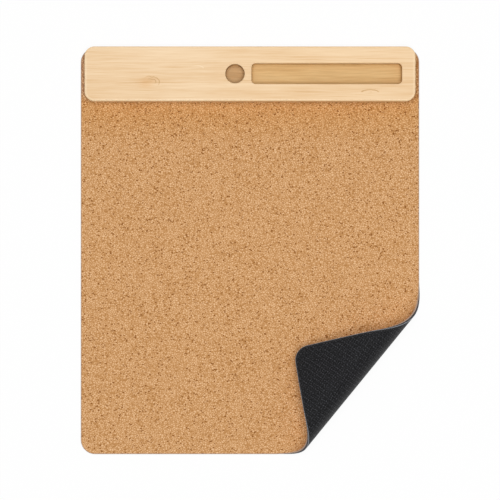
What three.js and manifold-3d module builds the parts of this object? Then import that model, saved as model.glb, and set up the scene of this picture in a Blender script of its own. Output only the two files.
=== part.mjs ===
// Mouse pad: a thin cork sheet on a black rubber base, with one corner folded over onto the cork,
// and a milled bamboo bar stuck along the rear edge, with a slot for a phone and a well for a pen.
// Millimetres. The origin is under the middle of the pad, +Y runs to the bar and +Z is up.
import * as THREE from 'three';
import { mergeVertices } from 'three/addons/utils/BufferGeometryUtils.js';
import Module from 'manifold-3d';

const wasm = await Module();
wasm.setup();

// the pad's two layers
const pad_width = 200;
const pad_length = 240;
const pad_corner_radius = 8.4;
const rubber_thickness = 1.2;
const cork_thickness = 0.8;

// the folded corner: radii are at mid-thickness, and the depth is from the sharp corner to the bend
const fold_heading = THREE.MathUtils.degToRad(39.2);
const fold_depth = 65.3;
const rising_radius = 9.7;
const returning_radius = 10.8;
const flap_bow = THREE.MathUtils.degToRad(8);
const flap_drift = 1.25;
const tip_clearance = 8;

// the bamboo bar
const bar_length = 194;
const bar_width = 32;
const bar_height = 10;
const bar_corner_radius = 5.7;
const bar_top_rounding = 0.7;
const bar_foot_break = 0.4;

// the slot and the pen well milled into the bar
const slot_length = 88.2;
const slot_width = 12;
const slot_depth = 6.5;
const slot_corner_radius = 2.4;
const slot_end_wall = 7.9;
const well_diameter = 11.2;
const well_depth = 8;
const slot_to_well_wall = 4.1;
const mouth_break = 0.4;

// the adhesive film under the bar
const film_thickness = 0.3;
const film_inset = 2;
const film_corner_radius = 3.7;

// how finely round forms are cut, how far a cutter runs out of the wood, and how often the lean is halved
const corner_steps = 8;
const rounding_steps = 4;
const well_steps = 40;
const quarter_turn_steps = 16;
const flap_steps = 8;
const least_row_spacing = 0.3;
const cutter_overrun = 1;
const lean_passes = 50;

const pad_thickness = rubber_thickness + cork_thickness;
const quarter_turn = Math.PI / 2;

// a convex rounded rectangle about the origin, counterclockwise
function rounded_outline(length, width, radius, steps) {
  const points = [];
  for (let corner = 0; corner < 4; corner += 1) {
    const side_x = corner === 0 || corner === 3 ? 1 : -1;
    const side_y = corner < 2 ? 1 : -1;
    const centre_x = side_x * (length / 2 - radius);
    const centre_y = side_y * (width / 2 - radius);
    for (let step = 0; step <= steps; step += 1) {
      const angle = quarter_turn * (corner + step / steps);
      points.push(new THREE.Vector2(
        centre_x + radius * Math.cos(angle),
        centre_y + radius * Math.sin(angle),
      ));
    }
  }
  return points;
}

function circle_outline(diameter, steps) {
  const points = [];
  for (let step = 0; step < steps; step += 1) {
    const angle = (2 * Math.PI * step) / steps;
    points.push(new THREE.Vector2(Math.cos(angle), Math.sin(angle)).multiplyScalar(diameter / 2));
  }
  return points;
}

function geometry_from(positions, faces) {
  const geometry = new THREE.BufferGeometry();
  geometry.setAttribute('position', new THREE.Float32BufferAttribute(positions, 3));
  geometry.setIndex(faces);
  geometry.computeVertexNormals();
  return geometry;
}

// a closed body through convex rings of equal count, from the lowest to the highest
function loft(rings) {
  const count = rings[0].outline.length;
  const positions = [];
  for (const ring of rings) {
    for (const point of ring.outline) {
      positions.push(point.x, point.y, ring.height);
    }
  }
  const faces = [];
  for (let level = 0; level < rings.length - 1; level += 1) {
    for (let side = 0; side < count; side += 1) {
      const here = level * count + side;
      const next = level * count + ((side + 1) % count);
      faces.push(here, next, next + count);
      faces.push(here, next + count, here + count);
    }
  }
  const top = (rings.length - 1) * count;
  for (let side = 1; side < count - 1; side += 1) {
    faces.push(0, side + 1, side);
    faces.push(top, top + side, top + side + 1);
  }
  return geometry_from(positions, faces);
}

function solid_from(geometry) {
  const bare = geometry.clone();
  bare.deleteAttribute('normal');
  const merged = mergeVertices(bare);
  return new wasm.Manifold(new wasm.Mesh({
    numProp: 3,
    vertProperties: new Float32Array(merged.attributes.position.array),
    triVerts: new Uint32Array(merged.index.array),
  }));
}

function geometry_of(solid) {
  const mesh = solid.getMesh();
  return geometry_from(Array.from(mesh.vertProperties), Array.from(mesh.triVerts));
}

// The fold. A point of the flat pad lies some way along, past the line where the bend starts, and
// some way aside, parallel to that line. The bend rises through a quarter turn, returns past the
// level, and the flap then leans down towards its tip with a slight bow. It drifts a little aside
// as it turns.
const facing = new THREE.Vector2(Math.cos(fold_heading), -Math.sin(fold_heading));
const crease = new THREE.Vector2(Math.sin(fold_heading), Math.cos(fold_heading));
const bend_start = new THREE.Vector2(pad_width / 2, -pad_length / 2).dot(facing) - fold_depth;
const pad_outline = rounded_outline(pad_width, pad_length, pad_corner_radius, corner_steps).map((point) => ({
  along: point.dot(facing) - bend_start,
  aside: point.dot(crease),
}));
const tip = pad_outline.reduce((best, point) => (point.along > best.along ? point : best));

// the arcs that the sheet's mid-thickness follows when the flap leans down by a given angle
function arcs_for(lean) {
  const returning_turn = quarter_turn + lean - flap_bow / 2;
  const flap_start = rising_radius * quarter_turn + returning_radius * returning_turn;
  return [
    { radius: rising_radius, turn: quarter_turn },
    { radius: returning_radius, turn: returning_turn },
    { radius: (tip.along - flap_start) / flap_bow, turn: flap_bow },
  ];
}

// where the mid-thickness is after a distance along the arcs, and how far it has turned
function follow(arcs, distance) {
  const place = { across: Math.min(distance, 0), up: 0, slope: 0 };
  let left = Math.max(distance, 0);
  for (const arc of arcs) {
    const turn = Math.min(left / arc.radius, arc.turn);
    place.across += arc.radius * (Math.sin(place.slope + turn) - Math.sin(place.slope));
    place.up += arc.radius * (Math.cos(place.slope) - Math.cos(place.slope + turn));
    place.slope += turn;
    left -= arc.radius * turn;
  }
  return place;
}

// the lean that leaves the named clearance between the tip and the cork, found by halving
function find_lean() {
  let low = 0;
  let high = quarter_turn;
  for (let pass = 0; pass < lean_passes; pass += 1) {
    const lean = (low + high) / 2;
    const place = follow(arcs_for(lean), tip.along);
    const gap = place.up + (Math.cos(place.slope) - 1) * (pad_thickness / 2);
    if (gap > tip_clearance) {
      low = lean;
    } else {
      high = lean;
    }
  }
  return low;
}
const arcs = arcs_for(find_lean());

// the point of the folded pad that lay at a height in the flat one
function folded_point(point, height) {
  const place = follow(arcs, point.along);
  const offset = height - pad_thickness / 2;
  const across = bend_start + place.across - offset * Math.sin(place.slope);
  const aside = point.aside + (flap_drift * place.slope) / Math.PI;
  const flat = facing.clone().multiplyScalar(across).addScaledVector(crease, aside);
  const up = pad_thickness / 2 + place.up + offset * Math.cos(place.slope);
  return [flat.x, flat.y, up];
}

// the distances along at which the sheet is cut into rows, so that each row stays a flat facet
function row_distances() {
  const corners = pad_outline.map((point) => point.along).filter((along) => along > 0 && along < tip.along);
  const steps = [0];
  let start = 0;
  arcs.forEach((arc, index) => {
    const count = index < 2 ? quarter_turn_steps : flap_steps;
    for (let step = 1; step <= count; step += 1) {
      steps.push(start + (arc.radius * arc.turn * step) / count);
    }
    start += arc.radius * arc.turn;
  });
  const clear = steps.filter((step) => step < tip.along - least_row_spacing
    && corners.every((corner) => Math.abs(corner - step) > least_row_spacing));
  return [...clear, ...corners].sort((a, b) => a - b);
}

// the two points of the outline that lie a distance along, first where it runs out to the tip
function crossings(along) {
  const found = { outward: null, homeward: null };
  pad_outline.forEach((from, index) => {
    const to = pad_outline[(index + 1) % pad_outline.length];
    const near = from.along < to.along ? from : to;
    const far = from.along < to.along ? to : from;
    if (near.along <= along && along < far.along) {
      const share = (along - near.along) / (far.along - near.along);
      const point = { along, aside: near.aside + share * (far.aside - near.aside) };
      found[near === from ? 'outward' : 'homeward'] = point;
    }
  });
  return found;
}

// the outline as one loop: the flat part, the rows' outward ends, the tip and the homeward ends
const rows = row_distances().map(crossings);
const first_flat = pad_outline.findIndex((point, index) => {
  const before = pad_outline[(index + pad_outline.length - 1) % pad_outline.length];
  return point.along < 0 && before.along >= 0;
});
const flat_points = pad_outline
  .map((_, index) => pad_outline[(first_flat + index) % pad_outline.length])
  .filter((point) => point.along < 0);
const loop = [
  ...flat_points,
  ...rows.map((row) => row.outward),
  tip,
  ...rows.map((row) => row.homeward).reverse(),
];

// one layer of the folded pad, between two heights of the flat pad
function pad_layer(low, high) {
  const count = loop.length;
  const positions = [low, high].flatMap((height) => loop.flatMap((point) => folded_point(point, height)));
  const faces = [];
  const cover = (a, b, c) => {
    faces.push(a + count, b + count, c + count);
    faces.push(a, c, b);
  };
  const last = count - 1;
  for (let index = 0; index < flat_points.length; index += 1) {
    cover(last, index, index + 1);
  }
  for (let row = 0; row < rows.length - 1; row += 1) {
    const outward = flat_points.length + row;
    const homeward = last - row;
    cover(outward, outward + 1, homeward - 1);
    cover(outward, homeward - 1, homeward);
  }
  const tip_index = flat_points.length + rows.length;
  cover(tip_index - 1, tip_index, tip_index + 1);
  for (let index = 0; index < count; index += 1) {
    const next = (index + 1) % count;
    faces.push(index, next, next + count);
    faces.push(index, next + count, index + count);
  }
  return geometry_from(positions, faces);
}

// the bar's outside, its foot on height zero
function bar_blank() {
  const outline = (inset) => rounded_outline(
    bar_length - 2 * inset,
    bar_width - 2 * inset,
    bar_corner_radius - inset,
    corner_steps,
  );
  const rings = [
    { outline: outline(bar_foot_break), height: 0 },
    { outline: outline(0), height: bar_foot_break },
  ];
  for (let step = 0; step <= rounding_steps; step += 1) {
    const angle = (quarter_turn * step) / rounding_steps;
    rings.push({
      outline: outline(bar_top_rounding * (1 - Math.cos(angle))),
      height: bar_height - bar_top_rounding * (1 - Math.sin(angle)),
    });
  }
  return loft(rings);
}

// a cutter for a pocket with a broken edge at its mouth, from an outline drawn at a given growth
function pocket_cutter(outline_grown_by, depth, centre_x) {
  const mouth = mouth_break + cutter_overrun;
  const cutter = loft([
    { outline: outline_grown_by(0), height: bar_height - depth },
    { outline: outline_grown_by(0), height: bar_height - mouth_break },
    { outline: outline_grown_by(mouth), height: bar_height + cutter_overrun },
  ]);
  cutter.translate(centre_x, 0, 0);
  return cutter;
}

const slot_centre_x = bar_length / 2 - slot_end_wall - slot_length / 2;
const well_centre_x = slot_centre_x - slot_length / 2 - slot_to_well_wall - well_diameter / 2;

function bamboo_bar() {
  const slot = pocket_cutter((growth) => rounded_outline(
    slot_length + 2 * growth,
    slot_width + 2 * growth,
    slot_corner_radius + growth,
    corner_steps,
  ), slot_depth, slot_centre_x);
  const well = pocket_cutter(
    (growth) => circle_outline(well_diameter + 2 * growth, well_steps),
    well_depth,
    well_centre_x,
  );
  const milled = solid_from(bar_blank()).subtract(solid_from(slot)).subtract(solid_from(well));
  return geometry_of(milled);
}

function adhesive_film() {
  const outline = rounded_outline(
    bar_length - 2 * film_inset,
    bar_width - 2 * film_inset,
    film_corner_radius,
    corner_steps,
  );
  return loft([{ outline, height: 0 }, { outline, height: film_thickness }]);
}

function piece(name, geometry, color, roughness) {
  const material = new THREE.MeshStandardMaterial({ color, roughness, metalness: 0 });
  const mesh = new THREE.Mesh(geometry, material);
  mesh.name = name;
  return mesh;
}

const pad = new THREE.Group();
pad.add(piece('rubber_base', pad_layer(0, rubber_thickness), 0x28282a, 0.85));
pad.add(piece('cork_sheet', pad_layer(rubber_thickness, pad_thickness), 0xcd9c6b, 0.9));

const pen_rest = new THREE.Group();
pen_rest.position.set(0, pad_length / 2 - bar_width / 2, pad_thickness);
const film = piece('bar_adhesive_film', adhesive_film(), 0xe6e0d2, 0.6);
const bar = piece('bamboo_bar', bamboo_bar(), 0xf4d4aa, 0.5);
bar.position.z = film_thickness;
pen_rest.add(film, bar);

const mouse_pad = new THREE.Group();
mouse_pad.add(pad, pen_rest);

export default mouse_pad;
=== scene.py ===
import math

import bpy
import numpy as np
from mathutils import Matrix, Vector, geometry


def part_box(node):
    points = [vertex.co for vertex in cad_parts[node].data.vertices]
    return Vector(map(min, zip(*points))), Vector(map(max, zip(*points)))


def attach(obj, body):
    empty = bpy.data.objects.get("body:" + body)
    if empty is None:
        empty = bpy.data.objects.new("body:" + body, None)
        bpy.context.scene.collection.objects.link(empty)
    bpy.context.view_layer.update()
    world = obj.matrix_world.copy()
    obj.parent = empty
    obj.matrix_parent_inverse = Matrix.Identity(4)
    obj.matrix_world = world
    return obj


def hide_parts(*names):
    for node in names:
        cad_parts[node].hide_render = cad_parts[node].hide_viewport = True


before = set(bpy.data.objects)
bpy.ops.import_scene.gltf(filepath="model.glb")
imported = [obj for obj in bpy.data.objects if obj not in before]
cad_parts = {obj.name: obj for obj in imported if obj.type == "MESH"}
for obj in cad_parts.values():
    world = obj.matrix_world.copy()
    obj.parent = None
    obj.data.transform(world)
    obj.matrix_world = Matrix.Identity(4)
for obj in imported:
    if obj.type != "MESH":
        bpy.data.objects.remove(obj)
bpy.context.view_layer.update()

# A cork mouse pad with one corner folded over, and a milled bamboo bar along its rear edge.
# Everything is in metres, +Y to the bar and +Z up, with the origin under the middle of the pad.
MM = 0.001

# the pad's flat size; its layers' heights come from the frame
PAD_WIDTH = 200 * MM
PAD_LENGTH = 240 * MM
PAD_CORNER_RADIUS = 8.4 * MM
CORK_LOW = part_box("cork_sheet")[0].z
PAD_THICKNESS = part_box("bar_adhesive_film")[0].z

# the fold, as the solids have it
FOLD_HEADING = math.radians(39.2)
FOLD_DEPTH = 65.3 * MM
RISING_RADIUS = 9.7 * MM
RETURNING_RADIUS = 10.8 * MM
FLAP_BOW = math.radians(8)
FLAP_DRIFT = 1.25 * MM
TIP_CLEARANCE = 8 * MM

# the rubber's underside: the pitches of its grip pattern and how deep it is, the foam's cells, the
# patches in which its studs wear, and the border that is paler
STUD_PITCH = 1.42 * MM
STUD_ROW_PITCH = 1.235 * MM
STUD_RELIEF = 0.12 * MM
FOAM_CELL = 0.6 * MM
WEAR_PATCH = 1.7 * MM
PALE_BORDER = 1.2 * MM

# the cork: its granules before they are pressed, how the press draws them out across the pad and
# squeezes them along it, and the border that is painted greyer and duller, partly its own colour and
# partly painted shade
COARSE_GRANULE = 1.08 * MM
FINE_GRANULE = 0.45 * MM
BARK_GRANULE = 0.78 * MM
CORK_DUST = 0.3 * MM
GRANULE_SQUEEZE = (0.9, 1.12, 1.0)
CORK_RELIEF = 0.05 * MM
SHADED_GREY_BORDER = 0.6 * MM

# the bar's own box comes from the frame, and its pockets are as the solid has them
BAR_LOW, BAR_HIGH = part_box("bamboo_bar")
BAR_LENGTH = BAR_HIGH.x - BAR_LOW.x
BAR_WIDTH = BAR_HIGH.y - BAR_LOW.y
BAR_MIDDLE = ((BAR_LOW.x + BAR_HIGH.x) / 2, (BAR_LOW.y + BAR_HIGH.y) / 2)
BAR_CORNER_RADIUS = 5.7 * MM
BAR_TOP_ROUNDING = 0.7 * MM
BAR_FOOT_BREAK = 0.4 * MM
SLOT_LENGTH = 88.2 * MM
SLOT_WIDTH = 12 * MM
SLOT_DEPTH = 6.5 * MM
SLOT_CORNER_RADIUS = 2.4 * MM
SLOT_END_WALL = 7.9 * MM
WELL_DIAMETER = 11.2 * MM
WELL_DEPTH = 8 * MM
SLOT_TO_WELL_WALL = 4.1 * MM
POCKET_MOUTH = 0.4 * MM
POCKET_FLOOR_ROUNDING = 0.6 * MM
SLOT_X = BAR_HIGH.x - SLOT_END_WALL - SLOT_LENGTH / 2
WELL_X = SLOT_X - SLOT_LENGTH / 2 - SLOT_TO_WELL_WALL - WELL_DIAMETER / 2

# the bamboo board: strips glued side by side, and the knuckles that show on top
STRIP_WIDTH = 12 * MM
STRIP_JOINT_Y = 98.5 * MM
KNUCKLES = [
    {"X": -58.4 * MM, "Y": 99.1 * MM, "Length": 5.2 * MM, "Width": 3.2 * MM,
     "Depth": 1.0, "Flatness": 0.0},
    {"X": 70.6 * MM, "Y": 92.9 * MM, "Length": 4.8 * MM, "Width": 1.7 * MM,
     "Depth": 1.5, "Flatness": 1.0},
    {"X": -31.0 * MM, "Y": 107.3 * MM, "Length": 5.0 * MM, "Width": 1.8 * MM,
     "Depth": -0.5, "Flatness": 0.5},
]

# its fibres: spacing, how many times longer than wide, and a shift that sets each kind apart
HAIR_FIBRES = (0.42 * MM, 40.0, 0.0)
STREAK_FIBRES = (2.2 * MM, 20.0, 1.0)
VESSEL_FIBRES = (0.85 * MM, 70.0, 3.0)
BAND_FIBRES = (8.5 * MM, 12.0, 5.0)
FIBRE_SWAY = 1.6 * MM
FIBRE_RELIEF = 0.012 * MM
SANDING_GRAIN = 0.4 * MM

# how closely the fibres sway and the rings of a knuckle waver, in turns a metre
FIBRE_SWAY_SCALE = 22.0
KNUCKLE_WAVER_SCALE = 380.0

# the film: its grain and how deep it is
FILM_GRAIN = 0.5 * MM
FILM_RELIEF = 0.02 * MM

# what the slot and the well multiply the top's colour by, the bare wood's deeper tone with painted
# shade, and the painted shade again at the walls
SLOT_WOOD_AND_SHADE = (233, 226, 201)
SLOT_WALL_SHADE = (238, 233, 224)
WELL_WOOD_AND_SHADE = (218, 206, 186)
WELL_WALL_SHADE = (236, 234, 229)
# painted light and shade: a pocket's rear wall is painted paler, and the painted shade at its front wall
# reaches further in
REAR_WALL_LIGHT = (252, 246, 222)
FRONT_SHADE_SHIFT = 1.2 * MM

# how fine the meshes are
OUTLINE_STEP = 0.8 * MM
BENT_LATTICE = 1.6 * MM
FLAT_LATTICE = 7 * MM
BAR_STEP = 4 * MM
SLOT_STEP = 2 * MM
EDGE_ROUNDING = 0.2 * MM
EDGE_STEPS = 3
ARC_STEPS = 12
# how far ahead of the bend the close lattice starts
BEND_MARGIN = 6 * MM

# the camera looks straight down, from far above, a little to the rear of the pad's middle
CAMERA_HEIGHT = 1200 * MM
CAMERA_SHIFT_Y = 0.65 * MM
VIEW_WIDTH = 295.5 * MM
SENSOR_WIDTH = 36.0

# light: an even white surround and one long soft lamp almost straight above, along the bar
SURROUND_STRENGTH = 0.3
LAMP_SHARE = 0.72
LAMP_LENGTH = 1.25
LAMP_WIDTH = 0.75
LAMP_PLACE = Vector((0.05, 0.02, 1.6))
FLOOR_SIZE = 6.0
FLOOR_DROP = 0.05 * MM
FLOOR_PAINT = 0.93
FLOOR_GLOW = 0.92
# what lies closer to the floor than this sees through it
FLOOR_CONTACT = 20 * FLOOR_DROP


def place_camera():
    data = bpy.data.cameras.new("camera")
    data.sensor_width = SENSOR_WIDTH
    data.lens = SENSOR_WIDTH * CAMERA_HEIGHT / VIEW_WIDTH
    data.clip_start = 0.01
    data.clip_end = 20
    camera = bpy.data.objects.new("camera", data)
    camera.location = (0, CAMERA_SHIFT_Y, PAD_THICKNESS + CAMERA_HEIGHT)
    bpy.context.collection.objects.link(camera)
    bpy.context.scene.camera = camera


# Node helpers

def add(tree, kind, inputs=None, **settings):
    """A node with its settings, whose inputs are values or the sockets that feed them."""
    node = tree.nodes.new(kind)
    for name, value in settings.items():
        setattr(node, name, value)
    for name, value in (inputs or {}).items():
        if isinstance(value, bpy.types.NodeSocket):
            tree.links.new(value, node.inputs[name])
        else:
            node.inputs[name].default_value = value
    return node


def calc(tree, operation, a, b=0.0, c=0.0, clamp=False):
    node = add(tree, "ShaderNodeMath", {0: a, 1: b, 2: c}, operation=operation, use_clamp=clamp)
    return node.outputs[0]


def calc_vector(tree, operation, a, b=(0, 0, 0)):
    node = add(tree, "ShaderNodeVectorMath", {0: a, 1: b}, operation=operation)
    return node.outputs[0]


def remap(tree, value, low, high, to_low=0.0, to_high=1.0, smooth=False):
    kind = "SMOOTHSTEP" if smooth else "LINEAR"
    inputs = {"Value": value, "From Min": low, "From Max": high, "To Min": to_low, "To Max": to_high}
    return add(tree, "ShaderNodeMapRange", inputs, interpolation_type=kind).outputs["Result"]


def blend(tree, factor, a, b, kind="MIX"):
    node = add(tree, "ShaderNodeMix", data_type="RGBA", blend_type=kind)
    for socket, value in ((node.inputs["Factor"], factor), (node.inputs[6], a), (node.inputs[7], b)):
        if isinstance(value, bpy.types.NodeSocket):
            tree.links.new(value, socket)
        else:
            socket.default_value = value
    return node.outputs[2]


def ramp(tree, value, stops):
    node = add(tree, "ShaderNodeValToRGB", {"Fac": value})
    elements = node.color_ramp.elements
    while len(elements) < len(stops):
        elements.new(1.0)
    for element, (position, colour) in zip(elements, stops):
        element.position = position
        element.color = colour
    return node.outputs["Color"]


def tinted(tree, colour, where, tint):
    """The colour, multiplied by a tint as far as a mask says."""
    return blend(tree, where, colour, blend(tree, 1.0, colour, tint, "MULTIPLY"))


def total(tree, values):
    """The sum of several values."""
    reached = values[0]
    for value in values[1:]:
        reached = calc(tree, "ADD", reached, value)
    return reached


def new_group(name, inputs, outputs):
    """A node group with named float and vector sockets; returns its tree and its two end nodes."""
    tree = bpy.data.node_groups.new(name, "ShaderNodeTree")
    for label, value in inputs.items():
        kind = "NodeSocketVector" if value is None else "NodeSocketFloat"
        socket = tree.interface.new_socket(name=label, in_out="INPUT", socket_type=kind)
        if value is not None:
            socket.default_value = value
    for label in outputs:
        tree.interface.new_socket(name=label, in_out="OUTPUT", socket_type="NodeSocketFloat")
    return tree, tree.nodes.new("NodeGroupInput").outputs, tree.nodes.new("NodeGroupOutput").inputs


def place_group(tree, group, inputs):
    node = tree.nodes.new("ShaderNodeGroup")
    node.node_tree = group
    for name, value in inputs.items():
        if isinstance(value, bpy.types.NodeSocket):
            tree.links.new(value, node.inputs[name])
        else:
            node.inputs[name].default_value = value
    return node.outputs


def linear(red, green, blue):
    """A colour written as it shows on screen, from 0 to 255, as the values that the shader takes."""
    shares = [value / 255 for value in (red, green, blue)]
    return tuple(s / 12.92 if s <= 0.04045 else ((s + 0.055) / 1.055) ** 2.4 for s in shares) + (1.0,)


# Shared finishes

def make_tone_drift():
    """Slow changes of tone over a surface, round 1."""
    tree, given, out = new_group(
        "tone drift", {"Place": None, "Patch Size": 0.01, "Strength": 0.1}, ["Tone"])
    scale = calc(tree, "DIVIDE", 1.0, given["Patch Size"])
    cloud = add(tree, "ShaderNodeTexNoise", {
        "Vector": given["Place"], "Scale": scale, "Detail": 3.0, "Roughness": 0.55})
    swing = calc(tree, "SUBTRACT", cloud.outputs["Fac"], 0.5)
    tone = calc(tree, "MULTIPLY_ADD", swing, given["Strength"], 1.0)
    tree.links.new(tone, out["Tone"])
    return tree


def make_fine_speckle():
    """Fine even grain, from 0 to 1, for dust, foam cells and sanding marks."""
    tree, given, out = new_group(
        "fine speckle", {"Place": None, "Grain Size": 0.0003}, ["Speckle"])
    scale = calc(tree, "DIVIDE", 1.0, given["Grain Size"])
    cloud = add(tree, "ShaderNodeTexNoise", {
        "Vector": given["Place"], "Scale": scale, "Detail": 2.0, "Roughness": 0.6})
    tree.links.new(remap(tree, cloud.outputs["Fac"], 0.3, 0.7), out["Speckle"])
    return tree


def make_granules():
    """Pressed granules: a shade for each, the dark seams between them, and their crowns."""
    tree, given, out = new_group(
        "granules",
        {"Place": None, "Granule Size": 0.0012, "Raggedness": 0.4, "Seam Width": 0.15},
        ["Shade", "Seam", "Crown"],
    )
    scale = calc(tree, "DIVIDE", 1.0, given["Granule Size"])
    wander_scale = calc(tree, "MULTIPLY", scale, 1.3)
    wander = add(tree, "ShaderNodeTexNoise", {
        "Vector": given["Place"], "Scale": wander_scale, "Detail": 2.0})
    off = calc_vector(tree, "SUBTRACT", wander.outputs["Color"], (0.5, 0.5, 0.5))
    reach = calc(tree, "MULTIPLY", given["Raggedness"], given["Granule Size"])
    shift = add(tree, "ShaderNodeVectorMath", {0: off, "Scale": reach}, operation="SCALE").outputs[0]
    place = calc_vector(tree, "ADD", given["Place"], shift)
    cells = add(tree, "ShaderNodeTexVoronoi", {"Vector": place, "Scale": scale})
    edges = add(tree, "ShaderNodeTexVoronoi", {"Vector": place, "Scale": scale},
                feature="DISTANCE_TO_EDGE")
    shade = add(tree, "ShaderNodeSeparateColor", {"Color": cells.outputs["Color"]}).outputs[0]
    seam = remap(tree, edges.outputs["Distance"], 0.0, given["Seam Width"], 1.0, 0.0, smooth=True)
    crown = remap(tree, edges.outputs["Distance"], 0.0, 0.4, smooth=True)
    tree.links.new(shade, out["Shade"])
    tree.links.new(seam, out["Seam"])
    tree.links.new(crown, out["Crown"])
    return tree


def make_knuckle():
    """A bamboo knuckle: its tan heart, the thin rings round it, and how it parts the fibres."""
    tree, given, out = new_group(
        "bamboo knuckle",
        {"Place": None, "X": 0.0, "Y": 0.0, "Length": 0.005, "Width": 0.003,
         "Depth": 1.0, "Flatness": 0.0},
        ["Heart", "Ring", "Parting"],
    )
    axes = add(tree, "ShaderNodeSeparateXYZ", {"Vector": given["Place"]}).outputs
    along = calc(tree, "DIVIDE", calc(tree, "SUBTRACT", axes["X"], given["X"]), given["Length"])
    aside = calc(tree, "DIVIDE", calc(tree, "SUBTRACT", axes["Y"], given["Y"]), given["Width"])

    def squared_distance(shift_along, shift_aside):
        first = calc(tree, "ADD", along, shift_along)
        second = calc(tree, "ADD", aside, shift_aside)
        first_square = calc(tree, "MULTIPLY", first, first)
        second_square = calc(tree, "MULTIPLY", second, second)
        return calc(tree, "ADD", first_square, second_square)

    def fading(square, steepness):
        swell = calc(tree, "EXPONENT", calc(tree, "MULTIPLY", square, -steepness))
        return calc(tree, "MULTIPLY", swell, given["Depth"])

    square = squared_distance(0.0, 0.0)
    reach = fading(square, steepness=0.9)
    roundness = calc(tree, "SUBTRACT", 1.0, given["Flatness"])
    from_heart = squared_distance(shift_along=0.45, shift_aside=0.2)
    heart = calc(tree, "MULTIPLY", fading(from_heart, steepness=1.3), roundness)
    # two uneven rings, which show on the rear right of the heart; those of a flat one lie wider apart
    wander = add(tree, "ShaderNodeTexNoise", {
        "Vector": given["Place"], "Scale": KNUCKLE_WAVER_SCALE, "Detail": 1.0})
    uneven = calc(tree, "MULTIPLY", calc(tree, "SUBTRACT", wander.outputs["Fac"], 0.5), 0.5)
    radius = calc(tree, "ADD", calc(tree, "SQRT", square), uneven)
    closeness = calc(tree, "MULTIPLY_ADD", given["Flatness"], -6.0, 14.0)
    wave = calc(tree, "SINE", calc(tree, "MULTIPLY", radius, closeness))
    rings = remap(tree, wave, 0.3, 1.0, smooth=True)
    rings = calc(tree, "MULTIPLY", rings, remap(tree, radius, 1.1, 1.2, 1.0, 0.0))
    turned = calc(tree, "MULTIPLY", along, roundness)
    rings = calc(tree, "MULTIPLY", rings, remap(tree, calc(tree, "ADD", aside, turned), 0.1, 0.8))
    strength = calc(tree, "MULTIPLY_ADD", given["Flatness"], 1.2, 1.0)
    rings = calc(tree, "MULTIPLY", rings, calc(tree, "MULTIPLY", strength, given["Depth"]))
    parting = calc(tree, "MULTIPLY", calc(tree, "MULTIPLY", aside, given["Width"]), reach)
    tree.links.new(heart, out["Heart"])
    tree.links.new(rings, out["Ring"])
    tree.links.new(parting, out["Parting"])
    return tree


def make_rounded_rim():
    """How deep inside a rounded outline of the bar a place lies, in metres; below 0 outside it."""
    tree, given, out = new_group(
        "rounded rim",
        {"Place": None, "X": 0.0, "Y": 0.0, "Length": 0.01, "Width": 0.01, "Corner": 0.002},
        ["Inside"],
    )
    axes = add(tree, "ShaderNodeSeparateXYZ", {"Vector": given["Place"]}).outputs
    beyond = []
    for axis, size in (("X", "Length"), ("Y", "Width")):
        off = calc(tree, "ABSOLUTE", calc(tree, "SUBTRACT", axes[axis], given[axis]))
        less_corner = calc(tree, "MULTIPLY", given["Corner"], -1.0)
        straight = calc(tree, "MULTIPLY_ADD", given[size], 0.5, less_corner)
        beyond.append(calc(tree, "SUBTRACT", off, straight))
    rounded = [calc(tree, "MAXIMUM", value, 0.0) for value in beyond]
    square_y = calc(tree, "MULTIPLY", rounded[1], rounded[1])
    square = calc(tree, "MULTIPLY_ADD", rounded[0], rounded[0], square_y)
    flat = calc(tree, "MINIMUM", calc(tree, "MAXIMUM", beyond[0], beyond[1]), 0.0)
    distance = calc(tree, "ADD", calc(tree, "SQRT", square), flat)
    tree.links.new(calc(tree, "SUBTRACT", given["Corner"], distance), out["Inside"])
    return tree


def make_fibres():
    """Wood fibres along X: streaks at one spacing, from 0 to 1, lengthened by a given stretch."""
    tree, given, out = new_group(
        "long fibres", {"Place": None, "Spacing": 0.0006, "Stretch": 60.0, "Strip": 0.0}, ["Streak"])
    axes = add(tree, "ShaderNodeSeparateXYZ", {"Vector": given["Place"]}).outputs
    scale = calc(tree, "DIVIDE", 1.0, given["Spacing"])
    along_scale = calc(tree, "DIVIDE", scale, given["Stretch"])
    # each strip of the board was cut from other wood
    strip_shift = calc(tree, "MULTIPLY", given["Strip"], 17.3)
    place = add(tree, "ShaderNodeCombineXYZ", {
        "X": calc(tree, "MULTIPLY_ADD", axes["X"], along_scale, strip_shift),
        "Y": calc(tree, "MULTIPLY_ADD", axes["Y"], scale, strip_shift),
        "Z": calc(tree, "MULTIPLY", axes["Z"], scale),
    }).outputs[0]
    streaks = add(tree, "ShaderNodeTexNoise", {
        "Vector": place, "Scale": 1.0, "Detail": 2.0, "Roughness": 0.6})
    tree.links.new(remap(tree, streaks.outputs["Fac"], 0.25, 0.75), out["Streak"])
    return tree


TONE_DRIFT = make_tone_drift()
FINE_SPECKLE = make_fine_speckle()
GRANULES = make_granules()
KNUCKLE = make_knuckle()
ROUNDED_RIM = make_rounded_rim()
FIBRES = make_fibres()


def new_material(name):
    material = bpy.data.materials.new(name)
    material.use_nodes = True
    tree = material.node_tree
    tree.nodes.clear()
    shader = tree.nodes.new("ShaderNodeBsdfPrincipled")
    output = tree.nodes.new("ShaderNodeOutputMaterial")
    tree.links.new(shader.outputs["BSDF"], output.inputs["Surface"])
    return material, tree, shader


def feed(tree, shader, colour, roughness, height, relief):
    """Feeds the shader its colour and roughness, and a bump whose full relief is in metres."""
    tree.links.new(colour, shader.inputs["Base Color"])
    tree.links.new(roughness, shader.inputs["Roughness"])
    bump = add(tree, "ShaderNodeBump", {"Height": height, "Distance": relief, "Strength": 1.0})
    tree.links.new(bump.outputs["Normal"], shader.inputs["Normal"])


def flat_place(tree):
    """Where a point of the pad lay before its corner was folded."""
    return add(tree, "ShaderNodeAttribute", attribute_name="flat_place").outputs["Vector"]


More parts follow.
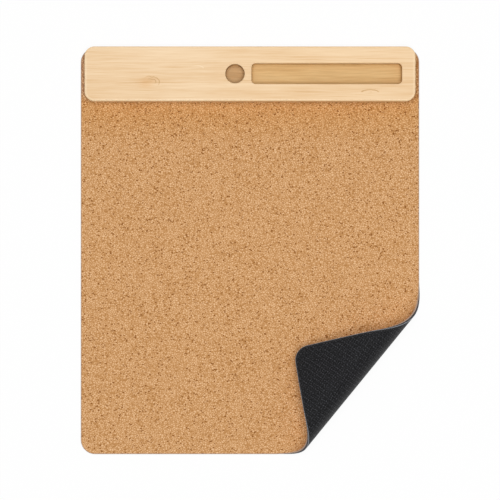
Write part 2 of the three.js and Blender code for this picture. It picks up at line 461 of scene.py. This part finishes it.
def scaled(tree, colour, factor):
    """The colour, made lighter or darker by a factor."""
    grey = add(tree, "ShaderNodeCombineColor", {"Red": factor, "Green": factor, "Blue": factor})
    return blend(tree, 1.0, colour, grey.outputs[0], "MULTIPLY")


def weigh(tree, start, parts):
    """A start value plus how far each (value, middle, weight) is from its middle, weighed."""
    reached = start
    for value, middle, weight in parts:
        swing = calc(tree, "SUBTRACT", value, middle)
        reached = calc(tree, "MULTIPLY_ADD", swing, weight, reached)
    return reached


def outline_nearness(tree, place):
    """How near a place is to the pad's cut outline: the corner radius on it, and less inside."""
    axes = add(tree, "ShaderNodeSeparateXYZ", {"Vector": place}).outputs
    squares = []
    for axis, size in (("X", PAD_WIDTH), ("Y", PAD_LENGTH)):
        from_middle = calc(tree, "ABSOLUTE", axes[axis])
        beyond = calc(tree, "SUBTRACT", from_middle, size / 2 - PAD_CORNER_RADIUS)
        beyond = calc(tree, "MAXIMUM", beyond, 0.0)
        squares.append(calc(tree, "MULTIPLY", beyond, beyond))
    return calc(tree, "SQRT", calc(tree, "ADD", squares[0], squares[1]))


def cork_material():
    material, tree, shader = new_material("pressed cork")
    place = flat_place(tree)
    pressed = calc_vector(tree, "MULTIPLY", place, GRANULE_SQUEEZE)
    coarse = place_group(tree, GRANULES, {
        "Place": pressed, "Granule Size": COARSE_GRANULE, "Raggedness": 0.38, "Seam Width": 0.25})
    fine = place_group(tree, GRANULES, {
        "Place": pressed, "Granule Size": FINE_GRANULE, "Raggedness": 0.5, "Seam Width": 0.22})
    dust = place_group(tree, FINE_SPECKLE, {"Place": pressed, "Grain Size": CORK_DUST})
    patches = place_group(tree, TONE_DRIFT, {"Place": place, "Patch Size": 14 * MM, "Strength": 0.12})
    # bark specks: a few granules are dark brown
    bark = place_group(tree, GRANULES, {
        "Place": pressed, "Granule Size": BARK_GRANULE, "Raggedness": 0.8, "Seam Width": 0.3})
    dark = remap(tree, bark["Shade"], 0.94, 0.95)
    dark = calc(tree, "MULTIPLY", dark, remap(tree, bark["Crown"], 0.0, 0.4))
    shade = weigh(tree, 0.703, [
        (coarse["Seam"], 0.0, -0.45),
        (coarse["Shade"], 0.5, 0.05),
        (fine["Shade"], 0.5, 0.17),
        (dust["Speckle"], 0.5, 0.16),
        (dark, 0.0, -1.75),
        (patches["Tone"], 1.0, 0.4),
    ])
    # painted shadow beside the bar's ends: there the granules' contrast is raised, so that the painted
    # shadow does not flatten them
    axes = add(tree, "ShaderNodeSeparateXYZ", {"Vector": place}).outputs
    bar_end_shadow = remap(tree, axes["Y"], BAR_LOW.y, BAR_LOW.y + 6 * MM, 0.0, 0.3)
    contrast = calc(tree, "MULTIPLY", bar_end_shadow, 3.5)
    swing = calc(tree, "SUBTRACT", shade, 0.45)
    shade = calc(tree, "MULTIPLY_ADD", contrast, swing, shade)
    colour = ramp(tree, shade, [
        (0.0, linear(138, 83, 28)),
        (0.25, linear(181, 128, 73)),
        (0.5, linear(211, 160, 107)),
        (0.75, linear(233, 188, 141)),
        (1.0, linear(243, 208, 166)),
    ])
    # painted shade: along the bar the cork is painted deeper and warmer
    kept = remap(tree, axes["Y"], BAR_LOW.y - 28 * MM, BAR_LOW.y - 6 * MM, smooth=True)
    colour = tinted(tree, colour, kept, linear(249, 243, 228))
    # and beside its ends it is painted darker, a painted shadow of the bar, grey by the left one and
    # brown by the right one
    right = remap(tree, axes["X"], -1 * MM, 1 * MM)
    bar_end_shadow_tone = blend(tree, right, linear(150, 128, 120), linear(104, 60, 24))
    colour = blend(tree, bar_end_shadow, colour, bar_end_shadow_tone)
    # the cut side and the edge beside it are greyer and duller than the sanded face, partly the cut
    # cork's own colour and partly painted shade on the rounded edge
    nearness = outline_nearness(tree, place)
    cut = remap(tree, nearness, PAD_CORNER_RADIUS - SHADED_GREY_BORDER, PAD_CORNER_RADIUS - EDGE_ROUNDING)
    colour = blend(tree, calc(tree, "MULTIPLY", cut, 0.85), colour, linear(171, 148, 133))
    height = weigh(tree, 0.0, [
        (coarse["Crown"], 0.0, 0.6),
        (fine["Crown"], 0.0, 0.4),
        (dark, 0.0, -0.5),
    ])
    roughness = remap(tree, coarse["Seam"], 0.0, 1.0, 0.72, 0.92)
    shader.inputs["Specular IOR Level"].default_value = 0.25
    feed(tree, shader, colour, roughness, height, CORK_RELIEF)
    return material


def rubber_material():
    material, tree, shader = new_material("embossed black rubber")
    place = flat_place(tree)
    axes = add(tree, "ShaderNodeSeparateXYZ", {"Vector": place}).outputs
    # rows of studs run at 45 degrees to the pad's edges, and every second row stands prouder
    across_rows = calc(tree, "DIVIDE", calc(tree, "ADD", axes["X"], axes["Y"]), math.sqrt(2))
    along_rows = calc(tree, "DIVIDE", calc(tree, "SUBTRACT", axes["X"], axes["Y"]), math.sqrt(2))
    waves = [
        calc(tree, "SINE", calc(tree, "MULTIPLY", distance, math.pi / pitch))
        for distance, pitch in ((across_rows, STUD_ROW_PITCH), (along_rows, STUD_PITCH))
    ]
    prouder = remap(tree, waves[0], -1.0, 1.0, 0.4, 1.0)
    lattice = calc(tree, "MULTIPLY", calc(tree, "ABSOLUTE", waves[0]), calc(tree, "ABSOLUTE", waves[1]))
    studs = calc(tree, "MULTIPLY", remap(tree, lattice, 0.2, 0.75, smooth=True), prouder)
    cells = place_group(tree, FINE_SPECKLE, {"Place": place, "Grain Size": FOAM_CELL})
    patches = place_group(tree, TONE_DRIFT, {"Place": place, "Patch Size": 12 * MM, "Strength": 0.2})
    uneven = place_group(tree, FINE_SPECKLE, {"Place": place, "Grain Size": WEAR_PATCH})
    rubbed = calc(tree, "MULTIPLY", studs, remap(tree, uneven["Speckle"], 0.0, 1.0, 0.45, 1.0))
    shade = weigh(tree, 0.12, [
        (rubbed, 0.35, 0.9),
        (cells["Speckle"], 0.5, 1.9),
    ])
    colour = blend(tree, calc(tree, "ADD", shade, 0.0, clamp=True), linear(1, 1, 2), linear(67, 67, 71))
    colour = scaled(tree, colour, patches["Tone"])
    # the underside is paler towards its edge, the cut side shows the open cells inside, and the
    # rounded edge between them is painted palest, a painted highlight
    nearness = outline_nearness(tree, place)
    flat_end = PAD_CORNER_RADIUS - EDGE_ROUNDING
    paler_border = remap(tree, nearness, PAD_CORNER_RADIUS - PALE_BORDER, flat_end, 0.0, 0.45)
    colour = blend(tree, paler_border, colour, linear(66, 63, 62))
    cut = remap(tree, nearness, flat_end - 0.1 * MM, flat_end + 0.1 * MM)
    inside = blend(tree, cells["Speckle"], linear(38, 38, 41), linear(76, 75, 77))
    # painted highlight on the rounded edge
    edge = remap(tree, axes["Z"], EDGE_ROUNDING - 0.1 * MM, EDGE_ROUNDING + 0.1 * MM, 1.0, 0.0)
    inside = blend(tree, edge, inside, linear(156, 160, 167))
    colour = blend(tree, cut, colour, inside)
    roughness = remap(tree, cells["Speckle"], 0.0, 1.0, 0.55, 0.75)
    height = calc(tree, "ADD", rubbed, calc(tree, "MULTIPLY", cells["Speckle"], 0.25))
    shader.inputs["Specular IOR Level"].default_value = 0.1
    shader.inputs["Sheen Weight"].default_value = 0.085
    shader.inputs["Sheen Roughness"].default_value = 0.6
    feed(tree, shader, colour, roughness, height, STUD_RELIEF)
    return material


def highlight_masks(tree, place, axes):
    """Masks for the painted highlights on the top's rounded rim and on the strip beside it, and for the
    painted light on the bar's walls.
    """
    rim_highlight = remap(tree, axes["Z"], BAR_HIGH.z - BAR_TOP_ROUNDING, BAR_HIGH.z - 0.02 * MM, 1.0, 0.0)
    above = remap(tree, axes["Z"], BAR_HIGH.z - 2 * BAR_TOP_ROUNDING, BAR_HIGH.z - BAR_TOP_ROUNDING)
    rim_highlight = calc(tree, "MULTIPLY", rim_highlight, above)
    inside = place_group(tree, ROUNDED_RIM, {
        "Place": place, "X": BAR_MIDDLE[0], "Y": BAR_MIDDLE[1],
        "Length": BAR_LENGTH, "Width": BAR_WIDTH, "Corner": BAR_CORNER_RADIUS})["Inside"]
    beside = remap(tree, inside, BAR_TOP_ROUNDING, 1.8 * MM, 1.0, 0.0, smooth=True)
    # along the rear the top gets no painted highlight
    from_rear = remap(tree, axes["Y"], BAR_HIGH.y - 8 * MM, BAR_HIGH.y - 3 * MM, 1.0, 0.0)
    border_highlight = calc(tree, "MULTIPLY", beside, from_rear)
    outside = remap(tree, inside, 0.1 * MM, BAR_TOP_ROUNDING, 1.0, 0.0)
    return rim_highlight, border_highlight, outside


def with_bare_and_shaded_pockets(tree, place, axes, colour, grain):
    """The colour with the milled pockets in bare wood, and the mask of that bare wood.

    It is deeper in tone than the clear-coated top, partly the bare wood's own colour and partly painted
    shade, with more painted shade at the walls and most at the front one; the rear wall is painted
    paler, a painted light.
    """
    shallow = BAR_HIGH.z - POCKET_MOUTH
    below = remap(tree, axes["Z"], BAR_HIGH.z - 2.2 * MM, shallow, 1.0, 0.0, smooth=True)
    bare = 0.0
    for x, length, width, corner, tone, wall_shade_tone in (
        (SLOT_X, SLOT_LENGTH, SLOT_WIDTH, SLOT_CORNER_RADIUS, SLOT_WOOD_AND_SHADE, SLOT_WALL_SHADE),
        (WELL_X, WELL_DIAMETER, WELL_DIAMETER, WELL_DIAMETER / 2, WELL_WOOD_AND_SHADE, WELL_WALL_SHADE),
    ):
        sizes = {"Place": place, "X": x, "Length": length, "Width": width, "Corner": corner}
        inside = place_group(tree, ROUNDED_RIM, {**sizes, "Y": BAR_MIDDLE[1]})["Inside"]
        here = calc(tree, "MULTIPLY", below, remap(tree, inside, -0.8 * MM, -0.3 * MM))
        # painted shade near the walls, its outline shifted so that it reaches further in from the front
        # wall
        shifted_y = BAR_MIDDLE[1] + FRONT_SHADE_SHIFT
        inside = place_group(tree, ROUNDED_RIM, {**sizes, "Y": shifted_y})["Inside"]
        near_wall = remap(tree, inside, -0.2 * MM, 2.4 * MM, 1.0, 0.0, smooth=True)
        rim = calc(tree, "MULTIPLY", here, near_wall)
        rear = BAR_MIDDLE[1] + width / 2
        behind = remap(tree, axes["Y"], rear - 0.6 * MM, rear - 0.1 * MM)
        tint = blend(tree, behind, linear(*tone), linear(*REAR_WALL_LIGHT))
        toned = scaled(tree, blend(tree, 1.0, colour, tint, "MULTIPLY"), grain)
        colour = blend(tree, here, colour, toned)
        colour = tinted(tree, colour, rim, linear(*wall_shade_tone))
        bare = calc(tree, "ADD", here, bare)
    return colour, bare


def bamboo_material():
    material, tree, shader = new_material("satin bamboo")
    place = add(tree, "ShaderNodeTexCoord").outputs["Object"]
    knuckles = [place_group(tree, KNUCKLE, {"Place": place, **sizes}) for sizes in KNUCKLES]
    heart, rings, parting = (
        total(tree, [knuckle[name] for knuckle in knuckles]) for name in ("Heart", "Ring", "Parting"))
    axes = add(tree, "ShaderNodeSeparateXYZ", {"Vector": place}).outputs
    strips = calc(tree, "DIVIDE", calc(tree, "SUBTRACT", axes["Y"], STRIP_JOINT_Y), STRIP_WIDTH)
    strip = calc(tree, "FLOOR", strips)
    share = calc(tree, "FRACT", strips)
    joint = calc(tree, "MINIMUM", share, calc(tree, "SUBTRACT", 1.0, share))
    joint = remap(tree, joint, 0.0, 0.025, 1.0, 0.0, smooth=True)
    # the fibres sway a little along the bar, and part round the knuckles
    wander = add(tree, "ShaderNodeTexNoise", {"Vector": place, "Scale": FIBRE_SWAY_SCALE, "Detail": 1.0})
    sway = calc(tree, "MULTIPLY", calc(tree, "SUBTRACT", wander.outputs["Fac"], 0.5), FIBRE_SWAY)
    swept = calc(tree, "MULTIPLY_ADD", parting, -0.6, calc(tree, "ADD", axes["Y"], sway))
    fibre_place = add(tree, "ShaderNodeCombineXYZ", {
        "X": axes["X"], "Y": swept, "Z": axes["Z"]}).outputs[0]
    hair, streak, vessels, band = (
        place_group(tree, FIBRES, {
            "Place": fibre_place, "Spacing": spacing, "Stretch": stretch,
            "Strip": calc(tree, "ADD", strip, shift)})["Streak"]
        for spacing, stretch, shift in (HAIR_FIBRES, STREAK_FIBRES, VESSEL_FIBRES, BAND_FIBRES)
    )
    # the darkest hairs are vessels, cut open along the strip
    vessel = remap(tree, vessels, 0.1, 0.32, 1.0, 0.0, smooth=True)
    patches = place_group(tree, TONE_DRIFT, {"Place": place, "Patch Size": 35 * MM, "Strength": 0.25})
    # painted highlights: the rounded rim of the top is painted paler, and so is the top along its front
    # and its ends; the walls are painted lighter
    rim_highlight, border_highlight, outside = highlight_masks(tree, place, axes)
    shade = weigh(tree, 0.43, [
        (band, 0.5, 0.27),
        (streak, 0.5, 0.12),
        (hair, 0.5, 0.27),
        (vessel, 0.0, -0.17),
        (joint, 0.0, -0.12),
        (heart, 0.0, -0.06),
        (rings, 0.0, -0.4),
        # painted highlights on the rim and beside it, and painted light on the walls
        (rim_highlight, 0.0, 0.25),
        (outside, 0.0, 0.15),
        (border_highlight, 0.0, 0.2),
        (patches["Tone"], 1.0, 0.6),
    ])
    colour = ramp(tree, shade, [
        (0.0, linear(200, 158, 104)),
        (0.25, linear(224, 186, 138)),
        (0.5, linear(236, 205, 164)),
        (0.75, linear(244, 217, 180)),
        (1.0, linear(249, 228, 197)),
    ])
    colour = tinted(tree, colour, heart, linear(253, 244, 232))
    # painted light: its walls and rounded rim are painted a little warmer than its top
    colour = tinted(tree, colour, outside, linear(255, 248, 233))
    # the board is a little yellower towards its right end
    yellower = remap(tree, axes["X"], -40 * MM, 30 * MM, smooth=True)
    colour = tinted(tree, colour, yellower, linear(254, 251, 246))
    grain = weigh(tree, 1.0, [(hair, 0.5, 0.16), (streak, 0.5, 0.1)])
    colour, bare = with_bare_and_shaded_pockets(tree, place, axes, colour, grain)
    sanding = place_group(tree, FINE_SPECKLE, {"Place": fibre_place, "Grain Size": SANDING_GRAIN})
    roughness = remap(tree, sanding["Speckle"], 0.0, 1.0, 0.42, 0.56)
    roughness = calc(tree, "MULTIPLY_ADD", bare, 0.2, roughness)
    height = weigh(tree, 0.0, [(hair, 0.0, 0.6), (vessel, 0.0, -0.6)])
    shader.inputs["Specular IOR Level"].default_value = 0.3
    feed(tree, shader, colour, roughness, height, FIBRE_RELIEF)
    return material


def film_material():
    material, tree, shader = new_material("adhesive film")
    place = add(tree, "ShaderNodeTexCoord").outputs["Object"]
    patches = place_group(tree, TONE_DRIFT, {"Place": place, "Patch Size": 6 * MM, "Strength": 0.12})
    grain = place_group(tree, FINE_SPECKLE, {"Place": place, "Grain Size": FILM_GRAIN})
    colour = blend(tree, grain["Speckle"], linear(222, 214, 196), linear(234, 228, 214))
    colour = scaled(tree, colour, patches["Tone"])
    roughness = remap(tree, grain["Speckle"], 0.0, 1.0, 0.4, 0.6)
    feed(tree, shader, colour, roughness, grain["Speckle"], FILM_RELIEF)
    return material


# Outlines and meshes

def rounded_outline(length, width, radius, step, arc_steps):
    """Points and outward normals round a rounded rectangle about the origin, counterclockwise."""
    points = []
    normals = []
    for corner in range(4):
        side_x = 1 if corner in (0, 3) else -1
        side_y = 1 if corner < 2 else -1
        centre = np.array([side_x * (length / 2 - radius), side_y * (width / 2 - radius)])
        for index in range(arc_steps + 1):
            angle = math.pi / 2 * (corner + index / arc_steps)
            normal = np.array([math.cos(angle), math.sin(angle)])
            points.append(centre + radius * normal)
            normals.append(normal)
        run = (width if corner % 2 else length) - 2 * radius
        count = max(1, round(run / step))
        way = np.array([-normal[1], normal[0]])
        start = points[-1]
        for index in range(1, count):
            points.append(start + way * run * index / count)
            normals.append(normal)
    return np.array(points), np.array(normals)


def circle_outline(diameter, steps):
    angles = np.arange(steps) * 2 * math.pi / steps
    normals = np.stack([np.cos(angles), np.sin(angles)], axis=1)
    return normals * diameter / 2, normals


def triangulate(loops, inner=()):
    """Triangles over the first loop less the others, as indices of the loops' and the inner points."""
    points = [point for loop in loops for point in loop]
    edges = []
    start = 0
    for loop in loops:
        count = len(loop)
        edges += [(start + i, start + (i + 1) % count) for i in range(count)]
        start += count
    points = points + list(inner)
    flat = [Vector((float(x), float(y))) for x, y in points]
    out = geometry.delaunay_2d_cdt(flat, edges, [], 1, 1e-9)
    first = [sources[0] for sources in out[3]]
    holes = [np.asarray(loop) for loop in loops[1:]]
    triangles = []
    for face in out[2]:
        corners = [first[index] for index in face]
        middle = np.mean([points[index] for index in corners], axis=0)
        if not any(is_inside(hole, middle) for hole in holes):
            triangles.append(corners)
    return triangles


def is_inside(loop, point):
    """True if a ray from the point along X crosses the loop an odd number of times."""
    x, y = loop[:, 0], loop[:, 1]
    next_x, next_y = np.roll(x, -1), np.roll(y, -1)
    crosses = (y > point[1]) != (next_y > point[1])
    with np.errstate(divide="ignore", invalid="ignore"):
        at = x + (point[1] - y) * (next_x - x) / (next_y - y)
    return bool(np.sum(crosses & (point[0] < at)) % 2)


class Body:
    """A closed mesh built from rings and covers, with a normal for each corner of each face."""

    def __init__(self):
        self.points = []
        self.faces = []
        self.normals = []

    def add_points(self, points):
        start = len(self.points)
        self.points += [tuple(point) for point in points]
        return list(range(start, len(self.points)))

    def add_face(self, corners, normals):
        self.faces.append(tuple(corners))
        self.normals += [tuple(normal) for normal in normals]

    def add_wall(self, rings, outward=True):
        """Quads between rings of (indices, normals), from the lowest to the highest."""
        for (low, low_normals), (high, high_normals) in zip(rings, rings[1:]):
            count = len(low)
            for i in range(count):
                j = (i + 1) % count
                corners = [low[i], low[j], high[j], high[i]]
                normals = [low_normals[i], low_normals[j], high_normals[j], high_normals[i]]
                if not outward:
                    corners.reverse()
                    normals.reverse()
                self.add_face(corners, normals)

    def add_cover(self, triangles, indices, up):
        for triangle in triangles:
            corners = [indices[corner] for corner in triangle]
            if not up:
                corners.reverse()
            self.add_face(corners, [(0, 0, 1 if up else -1)] * 3)

    def make(self, name, material, shape=None):
        """The object, its points and normals passed through a shape such as the fold."""
        points = np.array(self.points)
        normals = np.array(self.normals)
        corners = np.array([corner for face in self.faces for corner in face])
        shaped_points, shaped_normals = points, normals
        if shape:
            shaped_points, shaped_normals = shape(points, points[corners], normals)
        mesh = bpy.data.meshes.new(name)
        mesh.from_pydata(shaped_points.tolist(), [], self.faces)
        mesh.update()
        mesh.polygons.foreach_set("use_smooth", [True] * len(mesh.polygons))
        kept = mesh.attributes.new("flat_place", "FLOAT_VECTOR", "POINT")
        kept.data.foreach_set("vector", points.astype(np.float32).ravel())
        mesh.normals_split_custom_set(shaped_normals.tolist())
        mesh.materials.append(material)
        made = bpy.data.objects.new(name, mesh)
        bpy.context.collection.objects.link(made)
        return made


def ring(body, outline, normals, height, inset=0.0, tilt=0.0, centre=(0.0, 0.0)):
    """Adds a ring at a height, drawn in by an inset, whose normals lean up by a tilt."""
    flat = outline - normals * inset + np.array(centre)
    points = np.column_stack([flat, np.full(len(flat), height)])
    lean = np.column_stack([normals * math.cos(tilt), np.full(len(flat), math.sin(tilt))])
    return body.add_points(points), lean


# The fold, as the solids have it

# across the fold, towards the front right corner, and along it
FACING = np.array([math.cos(FOLD_HEADING), -math.sin(FOLD_HEADING)])
CREASE = np.array([math.sin(FOLD_HEADING), math.cos(FOLD_HEADING)])
BEND_START = np.array([PAD_WIDTH / 2, -PAD_LENGTH / 2]) @ FACING - FOLD_DEPTH
PAD_OUTLINE, PAD_NORMALS = rounded_outline(
    PAD_WIDTH, PAD_LENGTH, PAD_CORNER_RADIUS, OUTLINE_STEP, ARC_STEPS)
TIP_ALONG = (PAD_OUTLINE @ FACING).max() - BEND_START


def arcs_for(lean):
    """The arcs (radius, turn) of the mid-thickness, for a flap that leans down by an angle."""
    returning_turn = math.pi / 2 + lean - FLAP_BOW / 2
    flap_start = RISING_RADIUS * math.pi / 2 + RETURNING_RADIUS * returning_turn
    return [
        (RISING_RADIUS, math.pi / 2),
        (RETURNING_RADIUS, returning_turn),
        ((TIP_ALONG - flap_start) / FLAP_BOW, FLAP_BOW),
    ]


def follow(arcs, along):
    """How far across and up the mid-thickness is after a distance along, and how far it has turned."""
    across = np.minimum(along, 0.0)
    up = np.zeros_like(across)
    slope = np.zeros_like(across)
    left = np.maximum(along, 0.0)
    for radius, most in arcs:
        turn = np.minimum(left / radius, most)
        across = across + radius * (np.sin(slope + turn) - np.sin(slope))
        up = up + radius * (np.cos(slope) - np.cos(slope + turn))
        slope = slope + turn
        left = left - radius * turn
    return across, up, slope


def find_arcs():
    """The arcs whose flap leaves the known clearance under its tip, found by halving."""
    low, high = 0.0, math.pi / 2
    for _ in range(50):
        lean = (low + high) / 2
        _, up, slope = follow(arcs_for(lean), np.array([TIP_ALONG]))
        gap = up[0] + (math.cos(slope[0]) - 1) * PAD_THICKNESS / 2
        if gap > TIP_CLEARANCE:
            low = lean
        else:
            high = lean
    return arcs_for(low)


FOLD_ARCS = find_arcs()


def fold(points, corner_points, corner_normals):
    """Folds points of the flat pad, and turns the normals that stand on corner points."""
    along = points[:, :2] @ FACING - BEND_START
    across, up, slope = follow(FOLD_ARCS, along)
    offset = points[:, 2] - PAD_THICKNESS / 2
    reach = BEND_START + across - offset * np.sin(slope)
    aside = points[:, :2] @ CREASE + FLAP_DRIFT * slope / math.pi
    flat = np.outer(reach, FACING) + np.outer(aside, CREASE)
    height = PAD_THICKNESS / 2 + up + offset * np.cos(slope)
    folded = np.column_stack([flat, height])

    _, _, turn = follow(FOLD_ARCS, corner_points[:, :2] @ FACING - BEND_START)
    forward = corner_normals[:, :2] @ FACING
    sideways = corner_normals[:, :2] @ CREASE
    upward = corner_normals[:, 2]
    level = forward * np.cos(turn) - upward * np.sin(turn)
    rise = forward * np.sin(turn) + upward * np.cos(turn)
    turned = np.column_stack([np.outer(level, FACING) + np.outer(sideways, CREASE), rise])
    return folded, turned


# The pad's layers

def pad_lattice():
    """Inner points of the pad, close together where it bends and wide apart where it is flat."""
    points = []
    margin = 0.75 * BENT_LATTICE
    for spacing, bent in ((BENT_LATTICE, True), (FLAT_LATTICE, False)):
        row_gap = spacing * math.sqrt(3) / 2
        rows = int(PAD_LENGTH / row_gap) + 2
        columns = int(PAD_WIDTH / spacing) + 2
        for row in range(-rows, rows + 1):
            for column in range(-columns, columns + 1):
                along = row * row_gap
                aside = (column + 0.5 * (row % 2)) * spacing
                if (along > -BEND_MARGIN) != bent:
                    continue
                point = FACING * (BEND_START + along) + CREASE * aside
                if inside_rounded(point, margin):
                    points.append(point)
    return points


def inside_rounded(point, margin):
    """True if a point is inside the pad's rounded outline, by at least a margin."""
    x = max(abs(point[0]) - (PAD_WIDTH / 2 - PAD_CORNER_RADIUS), 0)
    y = max(abs(point[1]) - (PAD_LENGTH / 2 - PAD_CORNER_RADIUS), 0)
    return math.hypot(x, y) < PAD_CORNER_RADIUS - margin


PAD_INNER = pad_lattice()
PAD_TRIANGLES = triangulate([PAD_OUTLINE], PAD_INNER)


def layer(name, levels, material):
    """A folded layer through levels of (height, inset, tilt), from its lower cover to its upper one."""
    body = Body()
    rings = [ring(body, PAD_OUTLINE, PAD_NORMALS, *level) for level in levels]
    body.add_wall(rings)
    inner = np.array(PAD_INNER)
    for end, up in ((0, False), (-1, True)):
        indices, height = rings[end][0], levels[end][0]
        middle = body.add_points(np.column_stack([inner, np.full(len(inner), height)]))
        body.add_cover(PAD_TRIANGLES, indices + middle, up)
    return body.make(name, material, fold)


def rounding(height, size, steps, up):
    """Levels round an edge of a given size, towards its upper or its lower cover."""
    levels = []
    for step in range(steps + 1):
        angle = math.pi / 2 * step / steps
        inset = size * (1 - math.cos(angle))
        rise = size * (1 - math.sin(angle))
        levels.append((height - rise if up else height + rise, inset, angle if up else -angle))
    return levels if up else levels[::-1]


def make_rubber():
    levels = rounding(0.0, EDGE_ROUNDING, EDGE_STEPS, False) + [(CORK_LOW, 0.0, 0.0)]
    base = layer("rubber_layer", levels, rubber_material())
    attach(base, "root")
    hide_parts("rubber_base")
    return base


def make_cork(base):
    levels = [(CORK_LOW, 0.0, 0.0)] + rounding(PAD_THICKNESS, EDGE_ROUNDING, EDGE_STEPS, True)
    sheet = layer("cork_layer", levels, cork_material())
    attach(sheet, "root")
    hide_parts("cork_sheet")


# The bar

def pocket(body, outline, normals, centre, depth):
    """Adds a pocket's walls and floor, and returns its mouth, for the hole in the bar's top."""
    top = BAR_HIGH.z
    floor = top - depth
    angles = [math.pi / 2 * step / EDGE_STEPS for step in range(EDGE_STEPS + 1)]
    levels = []
    for angle in angles:
        height = floor + POCKET_FLOOR_ROUNDING * (1 - math.cos(angle))
        inset = POCKET_FLOOR_ROUNDING * (1 - math.sin(angle))
        levels.append((height, inset, math.pi / 2 - angle))
    for angle in angles:
        height = top - POCKET_MOUTH * (1 - math.sin(angle))
        inset = -POCKET_MOUTH * (1 - math.cos(angle))
        levels.append((height, inset, angle))
    rings = []
    for height, inset, tilt in levels:
        indices, lean = ring(body, outline, normals, height, inset, tilt, centre)
        lean[:, :2] *= -1
        rings.append((indices, lean))
    body.add_wall(rings, outward=False)
    floor_loop = outline - normals * POCKET_FLOOR_ROUNDING + np.array(centre)
    body.add_cover(triangulate([floor_loop]), rings[0][0], True)
    return rings[-1][0], outline + normals * POCKET_MOUTH + np.array(centre)


def make_bar():
    body = Body()
    outline, normals = rounded_outline(BAR_LENGTH, BAR_WIDTH, BAR_CORNER_RADIUS, BAR_STEP, ARC_STEPS)
    levels = rounding(BAR_LOW.z, BAR_FOOT_BREAK, EDGE_STEPS, False)
    levels += rounding(BAR_HIGH.z, BAR_TOP_ROUNDING, 2 * EDGE_STEPS, True)
    rings = [ring(body, outline, normals, *level, centre=BAR_MIDDLE) for level in levels]
    body.add_wall(rings)
    foot = outline - normals * BAR_FOOT_BREAK + np.array(BAR_MIDDLE)
    body.add_cover(triangulate([foot]), rings[0][0], False)

    slot_outline = rounded_outline(SLOT_LENGTH, SLOT_WIDTH, SLOT_CORNER_RADIUS, SLOT_STEP, ARC_STEPS)
    well_outline = circle_outline(WELL_DIAMETER, 6 * ARC_STEPS)
    slot_mouth, slot_loop = pocket(body, *slot_outline, (SLOT_X, BAR_MIDDLE[1]), SLOT_DEPTH)
    well_mouth, well_loop = pocket(body, *well_outline, (WELL_X, BAR_MIDDLE[1]), WELL_DEPTH)
    top_loop = outline - normals * BAR_TOP_ROUNDING + np.array(BAR_MIDDLE)
    triangles = triangulate([top_loop, slot_loop, well_loop])
    body.add_cover(triangles, rings[-1][0] + slot_mouth + well_mouth, True)
    bar = body.make("milled_bar", bamboo_material())
    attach(bar, "root")
    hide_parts("bamboo_bar")


def finish_film():
    """The film keeps its own solid and gets a finish."""
    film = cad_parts["bar_adhesive_film"]
    film.data.materials.clear()
    film.data.materials.append(film_material())


# The stage

def make_floor():
    """A white floor that glows for the camera and keeps a soft shadow; from below it is clear.

    It is clear too for what lies on it, so that the surround lights the pad's underside.
    """
    material = bpy.data.materials.new("white floor")
    material.use_nodes = True
    tree = material.node_tree
    tree.nodes.clear()
    output = tree.nodes.new("ShaderNodeOutputMaterial")
    paint_colour = (FLOOR_PAINT, FLOOR_PAINT, FLOOR_PAINT, 1)
    paint = add(tree, "ShaderNodeBsdfDiffuse", {"Color": paint_colour}).outputs[0]
    glow = add(tree, "ShaderNodeEmission", {"Color": (1, 1, 1, 1), "Strength": 1.0}).outputs[0]
    glowing = calc(tree, "MULTIPLY", seen_directly(tree), FLOOR_GLOW)
    mixed = add(tree, "ShaderNodeMixShader", {0: glowing, 1: paint, 2: glow}).outputs[0]
    behind = add(tree, "ShaderNodeNewGeometry").outputs["Backfacing"]
    length = add(tree, "ShaderNodeLightPath").outputs["Ray Length"]
    touching = calc(tree, "LESS_THAN", length, FLOOR_CONTACT)
    seen_through = calc(tree, "MAXIMUM", behind, touching)
    clear = add(tree, "ShaderNodeBsdfTransparent").outputs[0]
    shown = add(tree, "ShaderNodeMixShader", {0: seen_through, 1: mixed, 2: clear})
    tree.links.new(shown.outputs[0], output.inputs["Surface"])
    half = FLOOR_SIZE / 2
    mesh = bpy.data.meshes.new("floor")
    corners = [(-half, -half, 0), (half, -half, 0), (half, half, 0), (-half, half, 0)]
    mesh.from_pydata(corners, [], [(0, 1, 2, 3)])
    mesh.materials.append(material)
    floor = bpy.data.objects.new("floor", mesh)
    floor.location.z = -FLOOR_DROP
    bpy.context.collection.objects.link(floor)


def seen_directly(tree):
    """1 for rays from the camera, and for those in gloss or through glass."""
    path = add(tree, "ShaderNodeLightPath").outputs
    seen = calc(tree, "ADD", path["Is Camera Ray"], path["Is Glossy Ray"])
    return calc(tree, "ADD", seen, path["Is Transmission Ray"], clamp=True)


def make_light():
    world = bpy.data.worlds.new("white surround")
    bpy.context.scene.world = world
    world.use_nodes = True
    tree = world.node_tree
    tree.nodes.clear()
    output = tree.nodes.new("ShaderNodeOutputWorld")
    strength = remap(tree, seen_directly(tree), 0.0, 1.0, SURROUND_STRENGTH, 1.0)
    background = add(tree, "ShaderNodeBackground", {"Color": (1, 1, 1, 1), "Strength": strength})
    tree.links.new(background.outputs[0], output.inputs["Surface"])

    data = bpy.data.lights.new("soft lamp", "AREA")
    data.shape = "ELLIPSE"
    data.size = LAMP_LENGTH
    data.size_y = LAMP_WIDTH
    # the power at which the lamp alone shows its share of white on a surface under it
    far = LAMP_PLACE.length
    reach = math.hypot(far, LAMP_LENGTH / 2) * math.hypot(far, LAMP_WIDTH / 2)
    data.energy = math.pi ** 2 * reach * LAMP_SHARE
    lamp = bpy.data.objects.new("soft lamp", data)
    lamp.location = LAMP_PLACE
    lamp.rotation_mode = "QUATERNION"
    lamp.rotation_quaternion = (-LAMP_PLACE).to_track_quat("-Z", "Y")
    bpy.context.collection.objects.link(lamp)


place_camera()
make_cork(make_rubber())
make_bar()
finish_film()
make_floor()
make_light()
bpy.context.scene.view_settings.view_transform = "Standard"
